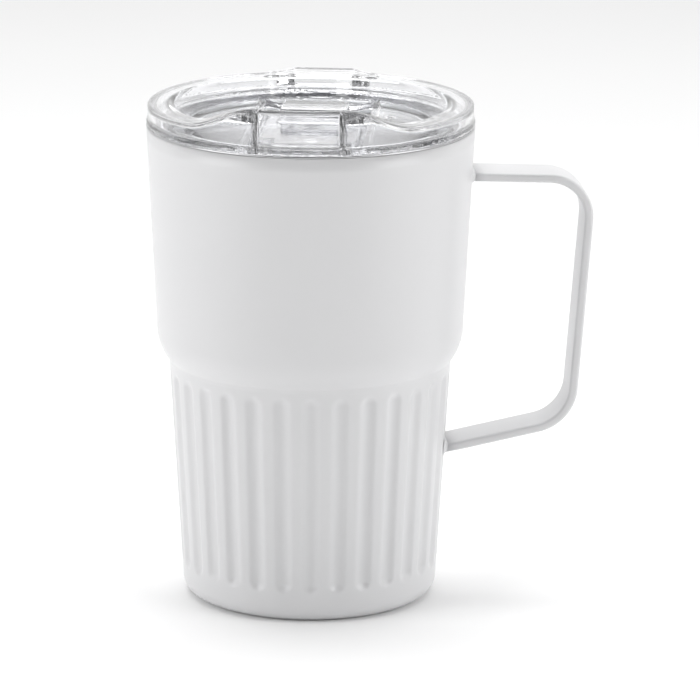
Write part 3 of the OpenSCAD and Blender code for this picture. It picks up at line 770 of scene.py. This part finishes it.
def lid_field(lid, slider):
    """The lid as a field in its own frame: height 0 on the rim, spout towards -Y."""
    wall_r = RIM_R - lid.flange_step
    top_r = wall_r - lid.ring_width
    slope = (top_r - lid.recess_radius) / (lid.ring_height + lid.recess_depth)
    lean = 1 / math.sqrt(1 + slope * slope)
    skirt_r = skirt_radius(lid)
    channel_z = -lid.recess_depth - lid.channel_depth
    drink_y = -lid.channel_front + lid.drink_edge + lid.drink_length / 2
    slot_length = slider.stem + slider.travel + 2 * slider.stem_gap
    slot_y = slider.stem_back - slider.stem / 2 - slider.travel / 2
    groove = -lid.groove_drop - lid.groove_height
    tab_y = wall_r + lid.tab_out
    root_x = lid.tab_half + lid.tab_out
    root = Vector((root_x + 2 * MM, wall_r * math.cos(math.asin(root_x / wall_r)) - 2 * MM))
    side = Vector((tab_y - root.y, root.x - lid.tab_half)).normalized()
    soft = lid.fillet

    def channel_space(x, y, z, r, grow, front):
        level = channel_z - grow - z
        main = all_of(1.2 * soft, np.abs(x) - lid.channel_width / 2 - grow, -y - lid.channel_mid - grow,
                      y - lid.channel_back - grow, level, z + lid.recess_depth - 1 * MM)
        beside = np.abs(x) - lid.nose_width / 2 - grow
        nose = all_of(1.2 * soft, beside, y + lid.recess_radius / 2, r - front, level, z - lid.flange)
        return np.minimum(main, nose)

    def pour_space(x, y, z, r, grow):
        return all_of(1.2 * soft, np.abs(x) - lid.nose_width / 2 - grow, y + lid.recess_radius / 2,
                      r - wall_r + lid.pour_wall - grow, lid.flange - grow - z)

    def field(x, y, z):
        r = np.hypot(x, y)
        share = np.clip((np.abs(x) - lid.spout_flat) / lid.spout_ramp, 0, 1)
        rise = (lid.spout_height - lid.ring_height) * (1 + np.cos(math.pi * share)) / 2
        crest = lid.ring_height + np.where(y < 0, rise, 0)
        ring = all_of(1.6 * soft, r - wall_r, z - crest, -z)
        flange = all_of(0.4 * soft, r - RIM_R, slab(z, 0, lid.flange))
        skirt = all_of(soft, r - skirt_r, slab(z, -lid.skirt_length, 0.5 * MM))
        edge = side.x * (np.abs(x) - lid.tab_half) + side.y * (y - tab_y)
        tab = all_of(1.3 * soft, edge, y - tab_y, -y, np.abs(x) - root.x,
                     slab(z, lid.ring_height - lid.tab_thickness, lid.ring_height))
        blank = smooth_min(smooth_min(ring, tab, 1.5 * soft), np.minimum(flange, skirt), 0.3 * soft)
        cone = (r - lid.recess_radius - (z + lid.recess_depth) * slope) * lean
        recess = smooth_max(cone, -lid.recess_depth - z, 2 * soft)
        channel = np.minimum(channel_space(x, y, z, r, 0, lid.channel_front), pour_space(x, y, z, r, 0))
        grown_recess = smooth_max(cone - lid.wall, -lid.recess_depth - lid.wall - z, 2 * soft)
        grown_channel = np.minimum(channel_space(x, y, z, r, lid.wall, skirt_r),
                                   pour_space(x, y, z, r, lid.pour_side))
        under = np.minimum(all_of(soft, r - skirt_r + lid.skirt_wall, z - lid.ring_height + lid.top),
                           all_of(soft, r - wall_r + lid.wall, lid.flange - z, z - crest + lid.top))
        hollow = all_of(soft, under, -grown_recess, -grown_channel)
        drink = round_box(x, y, lid.drink_width / 2, drink_y, lid.drink_length / 2, lid.drink_corner)
        slot = round_box(x, y, slider.stem / 2 + slider.stem_gap, slot_y, slot_length / 2, 1 * MM)
        air = np.hypot(x - lid.recess_radius * 0.65, y - lid.recess_radius * 0.4) - lid.air_radius
        seat = np.maximum(skirt_r - lid.groove_depth - r, slab(z, groove, groove + lid.groove_height))
        shape = smooth_max(blank, -recess, 1.6 * soft)
        shape = smooth_max(shape, -channel, 0.9 * soft)
        shape = smooth_max(shape, -hollow, 0.6 * soft)
        for hole in (drink, slot, air, seat):
            shape = smooth_max(shape, -hole, 0.5 * soft)
        return shape

    return field


def skirt_radius(lid):
    """Outer radius of the lid's skirt."""
    return RIM_R - bpy.context.scene.mug_cup.rim_width - lid.skirt_gap


class MUG_OT_lid(bpy.types.Operator):
    """Build the clear lid with its spout, tab, recess, channel and skirt."""

    bl_idname = "mug.lid"
    bl_label = "Lid"

    def execute(self, context):
        lid, slider = context.scene.mug_lid, context.scene.mug_slider
        reach = RIM_R + 1.5 * lid.pitch
        low = (-reach, -reach, -lid.skirt_length - 1.5 * lid.pitch)
        high = (reach, reach + lid.tab_out, lid.spout_height + 1.5 * lid.pitch)
        clear = plastic_material("clear_lid", context.scene.mug_colours.plastic, 0.97)
        piece = moulded("lid_clear", lid_field(lid, slider), low, high, lid.pitch, clear)
        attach(piece, "lid")
        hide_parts("lid_body")
        return {"FINISHED"}


class MUG_OT_seal(bpy.types.Operator):
    """Build the soft seal with its two lips."""

    bl_idname = "mug.seal"
    bl_label = "Seal"

    def execute(self, context):
        low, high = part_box("lid_seal")
        lid, cup = context.scene.mug_lid, context.scene.mug_cup
        core = skirt_radius(lid) + 0.05 * MM
        inner = core - lid.groove_depth
        lip = 0.6 * MM
        lean = (RIM_R - cup.rim_width - cup.floor_radius) / (RIM_Z - cup.floor_height)
        outer_high = high.x - lip
        outer_low = outer_high - lean * (high.z - low.z - 2 * lip)
        outline = [(inner + 0.2 * MM, low.z), (inner, low.z + 0.2 * MM), (inner, high.z - 0.2 * MM),
                   (inner + 0.2 * MM, high.z)]
        outline += arc((outer_high, high.z - lip), lip, 90, -75, 12)
        outline += arc((core + 0.25 * MM, (low.z + high.z) / 2), 0.2 * MM, 100, 260, 5)
        outline += arc((outer_low, low.z + lip), lip, 75, -90, 12)
        rubber = silicone_material("soft_seal", context.scene.mug_colours.silicone)
        seal = lathe("lid_seal_ring", outline[::-1], 220, rubber)
        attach(seal, "lid_ring")
        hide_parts("lid_seal")
        return {"FINISHED"}


def slider_places(lid, slider):
    """Places in the lid's frame: the plate's front, back and underside, and the clip's top."""
    channel_z = -lid.recess_depth - lid.channel_depth
    front = -lid.channel_front + lid.drink_edge - slider.lap + slider.travel
    back = slider.ridge_back + slider.tail
    return front, back, channel_z + slider.floor_gap, channel_z - lid.wall - slider.floor_gap


def slider_field(lid, slider):
    """The slider as a field: plate with its nose, thumb ridge, stem and peg."""
    front, back, bottom, clip_top = slider_places(lid, slider)
    half_w = lid.channel_width / 2 - slider.side_gap
    ridge_y = slider.ridge_back - slider.ridge_length / 2
    stem_y = slider.stem_back - slider.stem / 2
    middle = slider.front_gap - lid.channel_mid + slider.travel
    nose_w = lid.nose_width / 2 - slider.side_gap

    def field(x, y, z):
        plate = round_box(x, y, half_w, (middle + back) / 2, (back - middle) / 2, 2 * MM)
        nose = round_box(x, y, nose_w, (front + middle + 5 * MM) / 2, (middle + 5 * MM - front) / 2, 2 * MM)
        nose = np.maximum(nose, np.hypot(x, y - slider.travel) - lid.channel_front + slider.front_gap)
        plate = smooth_max(np.minimum(plate, nose), slab(z, bottom, bottom + slider.thickness), 0.7 * MM)
        ridge = round_box(x, y, slider.ridge_width / 2, ridge_y, slider.ridge_length / 2, 2 * MM)
        ridge = all_of(1.0 * MM, ridge, slab(z, bottom, slider.ridge_height))
        half = slider.stem / 2
        stem = round_box(x, y, half, stem_y, half, 1 * MM)
        stem = all_of(0.4 * MM, stem, slab(z, clip_top, bottom + 0.5 * MM))
        peg = round_box(x, y, half - 1 * MM, stem_y, half - 1 * MM, 1 * MM)
        peg = all_of(0.4 * MM, peg, slab(z, clip_top - slider.clip, clip_top + 0.5 * MM))
        return smooth_min(smooth_min(plate, ridge, 1.2 * MM), np.minimum(stem, peg), 0.4 * MM)

    return field


def clip_field(lid, slider):
    """The clip under the channel as a field."""
    clip_top = slider_places(lid, slider)[3]
    half_w = slider.stem / 2 + slider.stem_gap + slider.clip_lap
    stem_y = slider.stem_back - slider.stem / 2

    def field(x, y, z):
        plate = all_of(0.6 * MM, round_box(x, y, half_w, stem_y, slider.stem / 2 + 2 * MM, 1.5 * MM),
                       slab(z, clip_top - slider.clip, clip_top))
        hole = round_box(x, y, slider.stem / 2 - 0.98 * MM, stem_y, slider.stem / 2 - 0.98 * MM, 1 * MM)
        return np.maximum(plate, -hole)

    return field


class MUG_OT_slider(bpy.types.Operator):
    """Build the clear slider and the clip that holds it down."""

    bl_idname = "mug.slider"
    bl_label = "Slider and Clip"

    def execute(self, context):
        lid, slider = context.scene.mug_lid, context.scene.mug_slider
        clear = plastic_material("clear_slider", context.scene.mug_colours.plastic, 0.97)
        front, back, bottom, clip_top = slider_places(lid, slider)
        half_w = lid.channel_width / 2
        low = (-half_w, front - 1 * MM, clip_top - slider.clip - 1 * MM)
        high = (half_w, back + 1 * MM, slider.ridge_height + 1 * MM)
        pieces = {"slider": slider_field(lid, slider), "slider_clip": clip_field(lid, slider)}
        for node, field in pieces.items():
            piece = moulded(f"{node}_clear", field, low, high, 0.35 * MM, clear)
            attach(piece, "closure")
            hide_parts(node)
        return {"FINISHED"}


# ---------------------------------------------------------------- studio


class StudioSettings(bpy.types.PropertyGroup):
    """Camera and light."""

    azimuth: rotation("Azimuth", "Camera's turn round the mug", -4.5)
    elevation: rotation("Elevation", "Camera's height above level", 14.3)
    distance: length("Distance", "Camera's distance from the mug", 1.376)
    lens: bpy.props.FloatProperty(name="Lens", description="Focal length", default=261.4, unit="CAMERA")
    aim_height: length("Aim height", "Height of the point that the camera circles", 0.064)
    aim_side: length("Aim aside", "How far the view looks past the mug's axis, handle side", 0.0108)
    aim_up: length("Aim up", "How far the view looks above the aim height", 0.0028)
    roll: rotation("Roll", "Camera's tilt about its view", 0.3)
    ambient: number("Surround", "Strength of the white surround", 1.1)
    side_shade: number("Side shade", "Share of the surround's light at the sides", 0.22)
    front_shade: number("Front shade", "Share of the surround's light on the camera's side", 0.03)
    side_power: number("Side lights", "Power of each side light", 5.7)
    side_angle: rotation("Side angle", "Angle between the camera and each side light", 65)
    top_power: number("Top light", "Power of the light overhead", 12.5)


def area_light(name, place, target, size, power):
    """A soft rectangular lamp aimed at a point."""
    lamp = bpy.data.lights.new(name, "AREA")
    lamp.shape = "RECTANGLE"
    lamp.size, lamp.size_y = size
    lamp.energy = power
    thing = bpy.data.objects.new(name, lamp)
    thing.location = place
    thing.rotation_euler = (Vector(target) - Vector(place)).to_track_quat("-Z", "Y").to_euler()
    bpy.context.scene.collection.objects.link(thing)
    return thing


class MUG_OT_studio(bpy.types.Operator):
    """Build the floor, the lights and the camera."""

    bl_idname = "mug.studio"
    bl_label = "Studio"

    def execute(self, context):
        scene, studio = context.scene, context.scene.mug_studio
        self.floor(scene)
        self.world(scene, studio)
        a = studio.azimuth
        middle = Vector((0, 0, studio.aim_height))
        for name, side in (("left_light", -1), ("right_light", 1)):
            turn = side * studio.side_angle + a
            place = middle + Vector((math.sin(turn), -math.cos(turn), 0.27))
            area_light(name, place, middle, (0.7, 0.9), studio.side_power)
        area_light("top_light", (0, 0.15, 1.4), middle, (1.2, 1.2), studio.top_power)
        self.camera(scene, studio, middle)
        return {"FINISHED"}

    def floor(self, scene):
        """A plain pale floor with a faint mottle."""
        half = 4.0
        steps = 8
        line = np.linspace(-half, half, steps)
        points = [(x, y, 0) for y in line for x in line]
        material, nodes, links, output = new_material("studio_floor")
        place = nodes.new("ShaderNodeTexCoord").outputs["Object"]
        shader = principled(nodes, links, output, Roughness=0.9, Specular_IOR_Level=0.1)
        mottle = noise(nodes, links, place, 3, 4)
        links.new(tinted(nodes, links, mottle, scene.mug_colours.floor, 0.01), shader.inputs["Base Color"])
        to_object("studio_floor", points, grid_faces(steps, steps, False, False), material)

    def world(self, scene, studio):
        """A white surround behind the mug, dimmer at the sides and nearly dark on the camera's side."""
        world = bpy.data.worlds.new("white_surround")
        world.use_nodes = True
        nodes, links = world.node_tree.nodes, world.node_tree.links
        background = nodes["Background"]
        facing = nodes.new("ShaderNodeVectorMath")
        facing.operation = "DOT_PRODUCT"
        facing.inputs[1].default_value = (math.sin(studio.azimuth), -math.cos(studio.azimuth), 0)
        links.new(nodes.new("ShaderNodeTexCoord").outputs["Generated"], facing.inputs[0])
        share = nodes.new("ShaderNodeMapRange")
        share.inputs["From Min"].default_value = -1
        links.new(facing.outputs["Value"], share.inputs["Value"])
        bands = nodes.new("ShaderNodeValToRGB")
        stops = bands.color_ramp.elements
        side, front = studio.side_shade, studio.front_shade
        shades = ((0.0, 1), (0.32, 1), (0.44, side), (0.6, side), (0.85, front))
        while len(stops) < len(shades):
            stops.new(0.5)
        for stop, (place, shade) in zip(stops, shades):
            stop.position = place
            stop.color = (shade, shade, shade, 1)
        links.new(share.outputs["Result"], bands.inputs["Fac"])
        links.new(bands.outputs["Color"], background.inputs["Color"])
        background.inputs["Strength"].default_value = studio.ambient
        scene.world = world

    def camera(self, scene, studio, middle):
        """The camera, a little above the mug and turned slightly past the handle."""
        data = bpy.data.cameras.new("camera")
        data.sensor_width = 36
        data.lens = studio.lens
        camera = bpy.data.objects.new("camera", data)
        a, e = studio.azimuth, studio.elevation
        back = Vector((math.sin(a) * math.cos(e), -math.cos(a) * math.cos(e), math.sin(e)))
        right = Vector((math.cos(a), math.sin(a), 0))
        camera.location = middle + back * studio.distance
        target = middle + right * studio.aim_side + back.cross(right) * studio.aim_up
        camera.rotation_mode = "QUATERNION"
        view = (target - camera.location).to_track_quat("-Z", "Y")
        camera.rotation_quaternion = view @ Quaternion((0, 0, 1), studio.roll)
        scene.collection.objects.link(camera)
        scene.camera = camera
        scene.view_settings.view_transform = "Standard"
        scene.cycles.max_bounces = scene.cycles.transmission_bounces = 32
        scene.cycles.glossy_bounces = 16


class MUG_PT_panel(bpy.types.Panel):
    """Lists the steps that build the mug."""

    bl_idname = "MUG_PT_panel"
    bl_label = "Insulated Mug"
    bl_space_type = "VIEW_3D"
    bl_region_type = "UI"
    bl_category = "Mug"

    def draw(self, context):
        for step in STEPS:
            self.layout.operator(step.bl_idname)


GROUPS = {
    "mug_cup": CupSizes,
    "mug_handle": HandleSizes,
    "mug_lid": LidSizes,
    "mug_slider": SliderSizes,
    "mug_colours": Colours,
    "mug_studio": StudioSettings,
}
STEPS = (MUG_OT_studio, MUG_OT_outer_shell, MUG_OT_handle, MUG_OT_liner, MUG_OT_base, MUG_OT_lid, MUG_OT_seal,
         MUG_OT_slider)


def register():
    """Registers the sizes, the steps and the panel."""
    for name, group in GROUPS.items():
        bpy.utils.register_class(group)
        setattr(bpy.types.Scene, name, bpy.props.PointerProperty(type=group))
    for step in (*STEPS, MUG_PT_panel):
        bpy.utils.register_class(step)


def unregister():
    """Takes the classes out again."""
    for step in reversed((*STEPS, MUG_PT_panel)):
        bpy.utils.unregister_class(step)
    for name, group in reversed(GROUPS.items()):
        delattr(bpy.types.Scene, name)
        bpy.utils.unregister_class(group)


def main():
    """Builds every piece."""
    register()
    for step in STEPS:
        space, name = step.bl_idname.split(".")
        getattr(getattr(bpy.ops, space), name)()
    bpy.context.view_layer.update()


if __name__ == "__main__":
    main()
